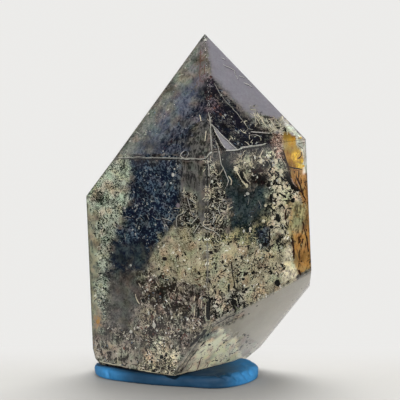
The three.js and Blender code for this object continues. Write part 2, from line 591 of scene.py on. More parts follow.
def zoneValues(pixels, warp):
    # tints, grain pattern and depth of the garden at each pixel, and the zone that it is in
    count = len(pixels)
    values = {key: np.tile(restOfGarden[key], (count, 1)) for key in tintNames}
    values.update({key: np.full(count, float(restOfGarden[key])) for key in numberNames})
    place = np.full(count, -1)
    for index, area in enumerate(zones.values()):
        distance = signedDistance(pixels, area["outline"]) + warp * area["ragged"]
        weight = np.clip(0.5 + distance / (2 * area["soft"]), 0, 1)
        weight = weight * weight * (3 - 2 * weight)  # so that the border has no kinks
        for key in tintNames:
            values[key] += (area[key] - values[key]) * weight[:, None]
        for key in numberNames:
            values[key] += (area[key] - values[key]) * weight
        place[weight > 0.5] = index
    return values, place


# The garden: the mass of inclusions, which follows the crystal's faces from inside
garden = {
    "voxel": 0.24 * mm,
    "cutWithin": 1e-7,  # a corner this near to a cut is on it
    # how far it lies behind the faces, in mm, by azimuth in degrees
    "roofInset": {-32: 0.12, 26: 0.12, 95: 0.1, 153: 0.12, -149: 0.12, -86: 0.1},
    "sideInset": {-32: 0.5, 30: 0.45, 92: 0.15, 153: 0.2, -149: 0.3, -89: 0.2},
    "cutInset": 0.4,  # under the slanting foot
    "wornInset": 0.15,
    "footInset": 0.04,
    # slopes in degrees that tell the faces apart, and the side that the slanting foot is on
    "roofAbove": 20,
    "wornBelow": -10,
    "cutBelow": -30,
    "footBelow": -80,
    "cutAzimuth": 46,
    "azimuthWithin": 3,
    "clearance": 0.16,  # added everywhere, in mm
    "skin": 0.04 * mm,  # clear quartz that is left over everything
    "tipFade": (6 * mm, 0.05),  # towards the tip it comes closer to the faces, down to this share
    "footFade": (1.5 * mm, 0.1),
    "warps": ((9, 4.0), (3.5, 3.0), (1.6, 2.0)),  # size and reach of the bends in the borders, in pixels
    "lumps": ((1.3, 0.28), (0.5, 0.16)),  # size and height, in mm
    "blotches": ((2.4, 0.3), (0.9, 0.3)),  # size in mm, and how much they change the share of light grains
    "smoothZones": ("clearRoofPaintedLight", "clearFootPaintedLight"),
    "smoothShare": 0.1,  # how much of the lumps, blotches and shades is left there
    "shadeSize": 1.7 * mm,
    "shadeSpread": 0.7,
    "shadeRange": (0.5, 1.06),
    "hues": {"khaki": 0.3, "brownRed": 0.16, "moss": 0.2},
    "hueSize": 1.5 * mm,
    "hueGain": 3,
    "hueFrom": 0.3,
    "gain": 1.08,  # how much the tints are raised against the quartz that covers them
    "roofGain": 0.85,  # the roof faces are lit more
    "roofFrom": (0.2, 0.45),  # how far a place faces up
    "brightest": 0.9,
    "textures": {
        "fine": {"Scale": 2700, "Detail": 2, "Roughness": 0.6, "Distortion": 0.8},
        "broad": {"Scale": 1250, "Detail": 4, "Roughness": 0.7, "Distortion": 1.4},
        "curls": {"Scale": 1200, "Detail": 1, "Roughness": 0.5, "Distortion": 2.0},
        "flecks": {"Scale": 2200, "Detail": 2, "Roughness": 0.55, "Distortion": 1.5},
        "blobs": {"Scale": 900, "Detail": 3, "Roughness": 0.62, "Distortion": 1.8},
        "streaks": {"Scale": 1, "Detail": 3, "Roughness": 0.6, "Distortion": 0.4},
    },
    "streakScale": (3000, 3000, 620),
    "curlWidth": 0.09,  # curls follow the level lines of their noise, which lie this far apart
    "curlLevels": (0.3, 0.7),
    "shareLevels": (0.62, 0.38),  # the larger the share of light grains, the lower the threshold
    "crispLevels": (0.25, 0.02),  # half the width of the step from dark to light
    "accentLevels": (0.7, 0.4),
    "accentEdge": 0.035,  # the same for an accent grain
    # what the vectors stored in the mesh hold; the depth only fills them up
    "fields": {
        "fleck": ("accentShare", "blob", "depth"),
        "grain": ("share", "coarse", "crisp"),
        "habit": ("worm", "streak", "depth"),
    },
}


def insetFor(normal):
    azimuth = math.degrees(math.atan2(normal[0], -normal[1]))
    slope = math.degrees(math.asin(max(-1, min(1, normal[2]))))
    if slope < garden["footBelow"]:
        return garden["footInset"]
    if abs(azimuth - garden["cutAzimuth"]) < garden["azimuthWithin"] and slope < garden["cutBelow"]:
        return garden["cutInset"]
    if slope < garden["wornBelow"]:
        return garden["wornInset"]
    table = garden["roofInset"] if slope > garden["roofAbove"] else garden["sideInset"]
    return table[min(table, key=lambda side: abs(side - azimuth))]


def keptInside(mesh):
    # small pieces that would stick out of the crystal are pressed in, just under its faces
    points = verticesOf(mesh)[0]
    for normal, reach in zip(*planes):
        over = np.maximum(points @ normal - reach + garden["skin"], 0)
        points -= over[:, None] * normal
    mesh.vertices.foreach_set("co", points.ravel())
    mesh.update()


def gardenMaterial():
    material, tree, shader = newMaterial("gardenMinerals", {"Roughness": 0.9, "Specular IOR Level": 0})
    stored = {}
    for name, keys in garden["fields"].items():
        stored.update(zip(keys, axesOf(tree, attributeOf(tree, name)["Vector"])))
    dark, light, accent = [attributeOf(tree, key + "Tint")["Color"] for key in tintNames]
    places = placesIn(tree)
    stretch = addNode(tree, "ShaderNodeMapping", vector_type="POINT", Scale=garden["streakScale"])
    tree.links.new(places, stretch.inputs["Vector"])
    drawn = {}
    for name, settings in garden["textures"].items():
        drawn[name] = textured(tree, stretch.outputs["Vector"] if name == "streaks" else places, **settings)
    curls = combined(tree, "PINGPONG", drawn["curls"], garden["curlWidth"])
    curls = mapped(tree, curls, 0, garden["curlWidth"], *garden["curlLevels"])
    level = mixed(tree, "FLOAT", stored["coarse"], drawn["fine"], drawn["broad"])
    level = mixed(tree, "FLOAT", stored["streak"], level, drawn["streaks"])
    level = mixed(tree, "FLOAT", stored["worm"], level, curls)
    middle = mapped(tree, stored["share"], 0, 1, *garden["shareLevels"])
    half = mapped(tree, stored["crisp"], 0, 1, *garden["crispLevels"])
    colour = mixed(tree, "RGBA", stepped(tree, level, middle, half), dark, light)
    spread = mixed(tree, "FLOAT", stored["blob"], drawn["flecks"], drawn["blobs"])
    edge = mapped(tree, stored["accentShare"], 0, 1, *garden["accentLevels"])
    colour = mixed(tree, "RGBA", stepped(tree, spread, edge, garden["accentEdge"]), colour, accent)
    tree.links.new(colour, shader.inputs["Base Color"])
    return material


def cutBack(shape):
    # the crystal's form, cut back behind each of its faces
    for normal, reach in zip(*planes):
        cut = bmesh.ops.bisect_plane(
            shape,
            geom=shape.verts[:] + shape.edges[:] + shape.faces[:],
            dist=garden["cutWithin"],
            plane_co=Vector(normal) * (reach - insetFor(normal) * mm),
            plane_no=normal,
            clear_outer=True,
        )
        rim = [item for item in cut["geom_cut"] if isinstance(item, bmesh.types.BMEdge)]
        bmesh.ops.contextual_create(shape, geom=rim)
    bmesh.ops.recalc_face_normals(shape, faces=shape.faces)


def faded(distances, fade):
    reach, least = fade
    return np.clip(distances / reach, least, 1)


def shadeTints(values, points, rough):
    # hues that drift over the zones, and lighter and darker places
    for seed, (tint, reach) in enumerate(garden["hues"].items(), noiseSeeds["hues"]):
        drift = noiseAt(points, garden["hueSize"], seed) * garden["hueGain"] - garden["hueFrom"]
        amount = np.clip(drift, 0, 1) * reach * rough
        hue = linear(*minerals[tint]) / linear(*minerals[tint]).mean()
        for key in tintNames:
            light = values[key].mean(axis=1, keepdims=True)
            values[key] += (hue * light - values[key]) * amount[:, None]
    shade = 1 + noiseAt(points, garden["shadeSize"], noiseSeeds["shade"]) * garden["shadeSpread"] * rough
    for key in tintNames:
        values[key] *= np.clip(shade, *garden["shadeRange"])[:, None]


def storeValues(mesh, values, facing):
    # what the material reads from the mesh
    low, high = garden["roofFrom"]
    upwards = np.clip((facing[:, 2] - low) / (high - low), 0, 1)[:, None]
    gain = garden["gain"] + (garden["roofGain"] - garden["gain"]) * upwards
    for key in tintNames:
        tints = np.clip(values[key] * gain, 0, garden["brightest"])
        rows = np.hstack([tints, np.ones((len(tints), 1))])
        attribute = mesh.attributes.new(key + "Tint", "FLOAT_COLOR", "POINT")
        attribute.data.foreach_set("color", rows.astype(np.float32).ravel())
    for name, keys in garden["fields"].items():
        rows = np.stack([values[key] for key in keys], 1)
        attribute = mesh.attributes.new(name, "FLOAT_VECTOR", "POINT")
        attribute.data.foreach_set("vector", rows.astype(np.float32).ravel())


def makeGarden():
    # the garden's mass, and where its surface lies, faces and is zoned
    shape = mergedCopy("quartz_point")
    cutBack(shape)
    piece = linkMesh("garden", shape, gardenMaterial())
    addRemesh(piece, garden["voxel"])
    mesh = applied(piece)
    points, facing = verticesOf(mesh)
    pixels = whereSeen(points)
    flat = np.column_stack([pixels, np.zeros(len(points))])
    warp = np.zeros(len(points))
    for seed, (size, reach) in enumerate(garden["warps"], noiseSeeds["warps"]):
        warp += noiseAt(flat, size, seed) * reach
    values, place = zoneValues(pixels, warp)
    smooth = np.isin(place, [zoneOrder.index(name) for name in garden["smoothZones"]])
    rough = np.where(smooth, garden["smoothShare"], 1)
    inward = values["depth"] + garden["clearance"]
    for seed, (size, height) in enumerate(garden["lumps"], noiseSeeds["lumps"]):
        inward += noiseAt(points, size * mm, seed) * height * rough
    for seed, (size, reach) in enumerate(garden["blotches"], noiseSeeds["blotches"]):
        values["share"] += noiseAt(points, size * mm, seed) * reach * rough
    inward *= faded(points[:, 2].max() - points[:, 2], garden["tipFade"])
    inward *= faded(points[:, 2] - points[:, 2].min(), garden["footFade"])
    shadeTints(values, points, rough)
    storeValues(mesh, values, facing)
    points = points - facing * np.maximum(inward, 0)[:, None] * mm
    moveVertices(mesh, points)
    finishPiece(piece, "garden")
    return points, facing, place


# Loose grains on the garden
grainLook = {
    "clusterSize": 1.3 * mm,
    "clusterShare": 0.35,  # how likely a place is to have a grain, and how far clusters change that
    "clusterSpread": 2.2,
    "flat": 0.6,  # thickness, as a share of the width
    "raised": 0.3,  # how far a grain stands out, in half widths
    "dent": 0.4,
    "mottle": {"Scale": 6000, "Detail": 2},
    "mottleFrom": (0.3, 0.7),
    "mottleTo": (-0.2, 0.2),
    "shader": {"Roughness": 0.8, "Specular IOR Level": 0.1},
}

# Tints, half width in mm and stretch of each kind, and the share of places that has one in each zone
grains = {
    "paleSpecks": {
        "tints": ("steel", "bone"),
        "radius": (0.05, 0.1),
        "stretch": (1, 3),
        "zones": {
            "navyPanel": 0.12, "roofNavy": 0.03, "roofSlate": 0.02, "slatePool": 0.03, "roofHaze": 0.02,
            "darkGrey": 0.06, "phantom": 0.06, "mossStrip": 0.05, "wormsLeft": 0.1, "wormsRight": 0.12,
            "lowerLeft": 0.03,
        },
    },
    "creamGrains": {
        "tints": ("cream", "white"),
        "radius": (0.05, 0.12),
        "stretch": (1.2, 3.6),
        "zones": {
            "creamLeft": 0.05, "creamOlive": 0.06, "creamBlack": 0.14, "creamSpotted": 0.12,
            "slateFringe": 0.06, "darkGrey": 0.06, "darkCluster": 0.1, "beige": 0.05, "lowerLeft": 0.015,
            "mossStrip": 0.03, "darkRed": 0.08, "paleFringe": 0.1, "redMottle": 0.08,
        },
    },
    "darkGrains": {
        "tints": ("soot", "umber"),
        "radius": (0.06, 0.17),
        "stretch": (1.2, 3.6),
        "zones": {
            "creamLeft": 0.04, "creamOlive": 0.09, "creamBlack": 0.14, "creamSpotted": 0.12,
            "darkGrey": 0.08, "darkCluster": 0.14, "beige": 0.08, "lowerLeft": 0.05, "wormsRight": 0.2,
            "wormsLeft": 0.2, "raggedLight": 0.06, "slateFringe": 0.06, "rustLow": 0.03, "redMottle": 0.06,
            "creamFoot": 0.02, "brownFoot": 0.08,
        },
    },
    "mossGrains": {
        "tints": ("moss", "graphite"),
        "radius": (0.06, 0.16),
        "stretch": (1, 2.6),
        "zones": {"mossStrip": 0.07, "roofHaze": 0.012, "creamOlive": 0.015},
    },
    "redGrains": {
        "tints": ("oxblood", "brownRed"),
        "radius": (0.07, 0.2),
        "stretch": (1, 2),
        "zones": {
            "darkRed": 0.08, "darkGrey": 0.025, "phantomApex": 0.05, "creamLeft": 0.02, "rustMiddle": 0.03,
        },
    },
}


def mineralColor(tint, brightest):
    return (*np.clip(linear(*minerals[tint]) * garden["gain"], 0, brightest), 1)


def grainMaterial(name, dark, light):
    material, tree, shader = newMaterial(name, grainLook["shader"])
    mottle = textured(tree, placesIn(tree), **grainLook["mottle"])
    mottle = mapped(tree, mottle, *grainLook["mottleFrom"], *grainLook["mottleTo"])
    blend = combined(tree, "ADD", attributeOf(tree, "shade")["Fac"], mottle)
    colours = [mineralColor(tint, garden["brightest"]) for tint in (dark, light)]
    tree.links.new(mixed(tree, "RGBA", blend, *colours), shader.inputs["Base Color"])
    return material


def makeGrains(name, kind, seed):
    draw = random.Random(seed)
    points, facing, place = surface
    clusters = noiseAt(points, grainLook["clusterSize"], seed + noiseSeeds["clusters"])
    clusters = grainLook["clusterShare"] + grainLook["clusterSpread"] * clusters
    shape = bmesh.new()
    layer = shape.verts.layers.float.new("shade")
    for zoneName, share in kind["zones"].items():
        inZone = np.flatnonzero(place == zoneOrder.index(zoneName))
        likely = [spot for spot in inZone if clusters[spot] > draw.random()]
        for spot in draw.sample(likely, int(len(likely) * share)):
            radius = draw.uniform(*kind["radius"]) * mm
            stretch = draw.uniform(*kind["stretch"])
            outward = Vector(facing[spot])
            spin = Matrix.Rotation(draw.uniform(0, math.pi), 3, "Z")
            turn = outward.to_track_quat("Z", "Y").to_matrix() @ spin
            turn = turn @ Matrix.Diagonal((stretch, 1, grainLook["flat"]))
            stand = Matrix.Translation(Vector(points[spot]) + outward * radius * grainLook["raised"])
            stand = stand @ turn.to_4x4()
            made = bmesh.ops.create_icosphere(shape, subdivisions=1, radius=radius, matrix=stand)
            shade = draw.random()
            for vert in made["verts"]:
                vert[layer] = shade
            dented(made, draw, grainLook["dent"], radius)
    piece = linkMesh(name, shape, grainMaterial(name, *kind["tints"]))
    keptInside(piece.data)
    finishPiece(piece, "garden")


# Veins, cracks and worms of mineral, and the painted highlights, glints and shade along the crystal's
# edges, each drawn through the pixels where it is seen
veinLook = {
    "depth": 0.36 * mm,
    "width": 0.36,  # half of the drawn width, thinned by the blur of the picture
    "heavyWidth": 0.6,  # for the dark ones, which the light beside them eats into
    "heavy": ("soot", "bark", "graphite"),
    "rusty": ("ochre", "bark", "brownRed"),
    "stride": 3,  # pixels between the points of a vein, and how far these wander
    "wander": 0.35,
    "shadowed": ("veinWhite", "paleCream"),
    "shadowOffset": (0.6, 1.1),  # a vein's dark side, in pixels
    "shadowDepth": 1.2,  # times as deep as the vein
    "endWidth": 0.7,
    "endRise": 0.3,  # how much wider it gets from point to point
    "uneven": (0.65, 1.2),
    "mottle": {"Scale": 5000, "Detail": 3, "Roughness": 0.6},
    "mottleLevels": (0.3, 0.7, 0.6, 1.1),
    "brightest": 0.95,
    "shader": {"Roughness": 0.7, "Specular IOR Level": 0.1},
}

# Each vein's width and points, in pixels of the photograph
veins = {
    "veinWhite": [
        # along the edge between the roof and the front face: a painted highlight
        (0.8, [(118, 157.4), (135, 157.6), (152, 157.8), (170, 158), (185, 158.7)]),
        (1.1, [(211.2, 124), (217, 134.6), (226, 150.3)]),
        (1.2, [(211.4, 124), (222, 135.4), (237, 149.4)]),
        (1.6, [(226, 150.5), (231, 150.4), (237.6, 149.6)]),
        (1.2, [(184, 151), (181, 153.5), (180.6, 156), (184.5, 159), (190, 158.8),
               (205.5, 158.4), (211.4, 151.5)]),
        (0.8, [(188, 151.5), (188.6, 154), (186.4, 157.6)]),
        (1.0, [(208.6, 112), (210.3, 123), (211.2, 137), (211.4, 150.5)]),
        (1.2, [(207.5, 161), (209, 168), (209.4, 176)]),
        (1.1, [(215.5, 140), (219, 151), (221.3, 164.5), (225.5, 173), (228.5, 181), (226.8, 186.5)]),
        (1.5, [(237, 150), (243, 147.6), (249, 146.8), (258, 145.2), (266, 143.4)]),
        (1.5, [(250.9, 131.7), (261, 132.4), (271.6, 133)]), (0.8, [(251, 135), (256, 134.6), (262, 137)]),
        (1.2, [(193.6, 232.9), (198.6, 224.6)]), (1.6, [(201.8, 224.4), (206.6, 228.4), (213.3, 230.4)]),
        (0.9, [(213.3, 230.4), (217, 233), (220, 237)]), (1.0, [(197.7, 216.3), (191.5, 223.8)]),
        (1.0, [(217, 215.5), (212, 224.5)]),
        (1.1, [(186, 211.4), (177.8, 215.5), (176.2, 220.5), (177, 227)]),
        (1.0, [(162, 218), (167, 219.5), (171.5, 221.5)]), (1.3, [(212.6, 222), (214.4, 217), (213, 211)]),
        (1.2, [(221, 216), (218, 209), (220, 204)]), (1.1, [(187, 197), (189, 204), (191, 209)]),
        (1.1, [(189.5, 199), (193, 201.5), (196, 204)]), (1.0, [(191, 210.5), (193.5, 217)]),
        (0.7, [(220.7, 57.6), (225, 59.3)]),
        (0.7, [(223.3, 64.5), (228.4, 67), (234.5, 70.5), (235.3, 74.8), (237.9, 79)]),
        (0.8, [(238.8, 75.7), (244, 77.4)]), (0.8, [(244, 82.6), (248.3, 84.3), (251.7, 86.9)]),
        # these two are painted glints at the right shoulder
        (1.2, [(296.4, 143.2), (300.5, 142), (304.4, 141)]),
        (1.3, [(297.2, 144.4), (300.8, 146.2), (302.8, 148)]),
    ],
    "veinGrey": [
        (0.9, [(214, 83), (219, 92), (225, 100.5), (236, 112), (243, 121), (248, 128.4), (253, 129.6)]),
        # the next line runs along the edge above the slanting foot: a painted highlight
        (1.0, [(222, 320.7), (240, 311), (262, 299.4), (284, 287.4), (299.5, 279.2)]),
        (0.8, [(124, 218), (127, 216.4), (131, 218)]), (0.8, [(136, 219.4), (140, 217.6), (143, 220.4)]),
        (0.8, [(147, 214.6), (149, 219.4)]), (0.9, [(152, 216), (156, 219), (161, 219.6)]),
        (0.7, [(133, 223), (137, 225.6)]), (0.9, [(139.7, 337), (139.2, 348), (138.2, 361)]),
        # the first line here runs down the edge between the two front faces: a painted highlight
        (0.7, [(206.8, 242), (207, 262), (206.8, 290)]), (0.7, [(192.9, 72.2), (190.3, 80)]),
        (0.8, [(124.8, 233), (125.8, 240)]), (0.9, [(258.6, 200.5), (261, 205.5), (260.6, 208.6)]),
        (0.7, [(249, 198.5), (247.8, 205)]), (0.9, [(228.6, 216), (230.6, 211.8)]),
        (1.2, [(176, 370), (187, 354), (198, 343)]), (1.0, [(183, 369), (193, 356), (203, 345.5)]),
    ],
    "soot": [
        (2.0, [(240.4, 172), (242, 177), (245.4, 181), (248.6, 184.4)]), (1.6, [(265, 160.6), (268, 165)]),
        (1.6, [(268.6, 160), (272, 166.6)]), (1.4, [(271.4, 159), (274.6, 163.6)]),
        (1.6, [(275, 171), (278.6, 174.4), (278, 178)]), (1.4, [(273.6, 181), (277, 184.4), (281, 184.6)]),
        (1.5, [(281.4, 176.6), (284.6, 181)]), (1.4, [(275, 190.6), (278, 187.6)]),
        (1.3, [(269.6, 206.6), (273, 210), (272.4, 214)]), (1.4, [(281.6, 204), (284.6, 208.6)]),
        (1.4, [(264.4, 214), (268, 217.6)]), (1.2, [(284, 226), (287.4, 229.6)]),
        (1.6, [(253, 183), (255.4, 178.4), (254.6, 174), (258, 172.6)]),
        (1.6, [(259, 186), (258.4, 181), (262, 178.8)]), (2.8, [(266.2, 166.8), (268.8, 163.4)]),
        (1.8, [(271, 168), (269, 171.6), (272.6, 176)]),
        (2.6, [(286.2, 174), (288.6, 177.6), (291, 184), (295, 189.4), (298.6, 190.6)]),
        (2.0, [(278.4, 192.6), (282, 194.6), (286, 197.6)]), (2.6, [(270.6, 194), (271.4, 203)]),
        (3.4, [(276.6, 214), (277.8, 218), (279.4, 221.6)]), (2.4, [(269.4, 226.4), (273.4, 226.8)]),
        (2.2, [(276.3, 241), (278.6, 238.6)]), (2.2, [(279.6, 238), (283.2, 237)]),
        (1.6, [(278.4, 249), (278.8, 245.4), (281.6, 243.6), (283.8, 246.2)]),
        (1.8, [(279, 251.6), (280.2, 250.2)]),
        (1.8, [(269.7, 232), (269.4, 240), (266.3, 246.6), (263, 243)]),
        (0.9, [(282, 267.6), (282.8, 264.4), (285.2, 266), (284.6, 269.6), (282.4, 269.2)]),
        (2.2, [(209.6, 298.2), (209.2, 309), (208.8, 320)]),
        (2.4, [(198, 307), (198.6, 313), (197.4, 318)]), (1.6, [(203.6, 316), (205, 323)]),
        (2.2, [(229, 284), (228.6, 292)]), (1.1, [(231.4, 262), (232.6, 274), (235.4, 288.4)]),
        (1.6, [(226, 303), (229, 299.4), (233.4, 299.6), (235, 304)]),
        (1.4, [(232, 306), (236, 310), (234.6, 313.4)]), (1.5, [(243.4, 292), (248, 287.6)]),
        (1.6, [(239, 294), (243.6, 299.6)]), (1.3, [(207.4, 164), (207.2, 172), (207.5, 186)]),
        # just under the edge between the roof and the front face: painted shade
        (1.1, [(121, 158.8), (150, 159.2), (178, 160)]),
        (1.2, [(248.6, 130.2), (258, 130.4), (268, 130.6)]),
        (1.1, [(250, 133.8), (260, 134.2), (270, 134.6)]),
        (1.3, [(237.4, 151.6), (246, 149.2), (256, 147.4), (268, 145.4)]),
        (1.2, [(212, 126), (216.5, 138), (222, 150)]), (2.0, [(211, 197), (212.6, 203)]),
        (1.8, [(212.4, 207.4), (214.6, 206)]), (1.0, [(180.4, 373.4), (190, 359), (198, 349)]),
    ],
    "graphite": [
        # along the edges of the slanting foot: painted shade
        (2.4, [(190, 346.5), (198, 338), (207.4, 330.4)]),
        (1.4, [(236, 313.4), (226, 318.6), (216, 324.4)]), (1.6, [(200.4, 346.6), (206, 341)]),
    ],
    "paleCream": [
        (1.5, [(234.4, 166), (238, 174), (242, 181)]), (2.6, [(242, 181), (245.4, 185.2), (247.2, 187.6)]),
        (1.3, [(243.2, 172), (245.8, 178), (248.4, 182)]),
        (1.7, [(228.4, 176), (231.6, 180.6), (231, 185)]),
        (1.7, [(135.4, 294), (136.6, 299), (139.6, 304)]), (1.4, [(138.6, 283), (140.6, 287.4)]),
        (1.5, [(199.5, 115), (201, 121)]), (1.4, [(206, 131), (205, 141)]),
        (1.9, [(194.6, 296.4), (194.4, 301)]), (1.9, [(195, 305.6), (194.6, 316)]),
        (1.8, [(201.6, 301.6), (201.4, 308.4)]), (1.8, [(205.4, 305), (205.6, 315.4)]),
        # the lines between 100 and 246 across, here and in the next three lines, run along the bottom edge:
        # a painted highlight
        (1.5, [(262.6, 150.6), (260, 156), (263, 162)]), (1.1, [(100, 361.4), (112, 364.2), (124, 366.6)]),
        (1.5, [(138, 369.6), (152, 372.2), (164, 374.2), (173, 375.6)]),
        (1.5, [(174, 375.4), (184, 372.4), (196, 369.8), (212, 366.6)]),
        (1.0, [(216, 365.8), (232, 362.6), (246, 359)]), (0.9, [(256.4, 117.6), (260, 124.4)]),
        (0.9, [(259.2, 115.6), (262, 120), (263.4, 125)]),
        (1.0, [(262.4, 119), (264.4, 124), (267.6, 128)]),
        (0.9, [(266.2, 118), (269, 123.4), (271.4, 128.6)]),
        (0.9, [(269.4, 119), (272.8, 123.6), (275.6, 127.6)]),
        (0.8, [(253.6, 113), (255.6, 118), (256, 123)]),
    ],
    "bark": [
        (1.6, [(283, 151), (285.4, 158), (288.4, 168), (291.2, 178)]),
        (1.2, [(291.2, 183), (299.5, 189.8), (306, 199.8)]),
        (2.0, [(292.6, 238), (293.7, 248), (294, 259)]), (2.4, [(298.7, 270), (300.6, 274.6)]),
        (1.6, [(286.2, 209.7), (285.4, 220), (287, 226)]),
        (1.3, [(302.8, 222), (304, 229), (306.8, 238), (308.4, 252)]),
        (1.2, [(296, 176), (300.5, 186), (303.5, 196)]), (1.4, [(302, 203), (305.6, 201)]),
        (1.5, [(303.4, 238.6), (301.6, 242.6)]), (1.2, [(299.6, 250), (299, 262)]),
        (1.2, [(297.6, 159), (301.2, 156), (301.4, 152)]),
        (1.4, [(288, 166.4), (295, 168.4), (302, 169.6)]),
    ],
    "brownRed": [
        (1.1, [(200.7, 49.8), (200.2, 66), (199.8, 81.7)]), (0.9, [(204.2, 64), (205, 75)]),
        (1.8, [(196.4, 371), (199.4, 364), (201.4, 357.6)]), (1.2, [(188, 371), (193, 363)]),
        (1.3, [(181, 340), (184.4, 333), (187, 337)]),
    ],
    "rose": [
        (1.4, [(289.4, 170), (290.4, 177), (294, 184), (297.6, 188)]),
        (1.0, [(295.6, 178.4), (299.6, 186.6)]), (1.2, [(276.6, 138), (280, 141.4)]),
        (1.3, [(277.4, 147), (280.4, 150.6)]),
    ],
    "ochre": [
        (1.4, [(292, 162), (293, 172), (301, 192), (304, 205)]),
        (1.5, [(296, 246), (298, 258), (303, 268)]),
    ],
}


def stoneMaterial(name, tint):
    material, tree, shader = newMaterial(name, veinLook["shader"])
    mottle = textured(tree, placesIn(tree), **veinLook["mottle"])
    colour = addNode(tree, "ShaderNodeHueSaturation", Color=mineralColor(tint, veinLook["brightest"]))
    tree.links.new(mapped(tree, mottle, *veinLook["mottleLevels"]), colour.inputs["Value"])
    tree.links.new(colour.outputs["Color"], shader.inputs["Base Color"])
    return material


def makeStrands(name, slot, material, strands):
    # thin threads through points, thickest in the middle
    data = bpy.data.curves.new(name, "CURVE")
    data.dimensions = "3D"
    data.bevel_depth = 1
    data.bevel_resolution = 1
    data.use_fill_caps = True
    draw = random.Random(drawSeeds["strands"])
    for halfWidth, points in strands:
        spline = data.splines.new("POLY")
        spline.points.add(len(points) - 1)
        for index, point in enumerate(points):
            fromEnd = min(index, len(points) - 1 - index)
            swell = min(1, veinLook["endWidth"] + veinLook["endRise"] * fromEnd)
            spline.points[index].co = (*point, 1)
            spline.points[index].radius = halfWidth * swell * draw.uniform(*veinLook["uneven"])
    curve = linked(name, data)
    mesh = meshOf(curve)
    bpy.data.objects.remove(curve)
    mesh.materials.clear()
    mesh.materials.append(material)
    keptInside(mesh)
    finishPiece(linked(name, mesh), slot)


def wandering(start, end, draw):
    # extra points between two pixels, a little off the straight line
    steps = max(1, round(math.dist(start, end) / veinLook["stride"]))
    spread = veinLook["wander"]
    for step in range(1, steps):
        share = step / steps
        yield tuple(a + (b - a) * share + draw.uniform(-spread, spread) for a, b in zip(start, end))


def makeVeins():
    draw = random.Random(drawSeeds["veins"])
    asideAcross, asideDown = veinLook["shadowOffset"]
    shadows = []
    for tint, lines in veins.items():
        strands = []
        for width, pixels in lines:
            route = [pixels[0]]
            for start, end in zip(pixels, pixels[1:]):
                route += [*wandering(start, end, draw), end]
            wide = veinLook["heavyWidth"] if tint in veinLook["heavy"] else veinLook["width"]
            halfWidth = width * photo["pixelSize"] * wide
            strands.append((halfWidth, [under(pixel, veinLook["depth"]) for pixel in route]))
            if tint in veinLook["shadowed"]:
                deep = veinLook["depth"] * veinLook["shadowDepth"]
                beside = [(across + asideAcross, down + asideDown) for across, down in route]
                shadows.append((halfWidth, [under(pixel, deep) for pixel in beside]))
        slot = "iron_stain" if tint in veinLook["rusty"] else "garden"
        makeStrands(tint + "Veins", slot, stoneMaterial(tint + "Vein", tint), strands)
    makeStrands("veinShadows", "garden", stoneMaterial("veinShadow", "soot"), shadows)


# Single crystals and spots, and a few painted glints, at the depth of the veins
spotLook = {
    "flat": 0.6,
    "dent": 0.16,
    # the stain's spots; the yellow ones are painted glints of light shining through it
    "rusty": ("ochre", "stainGlowYellow"),
}

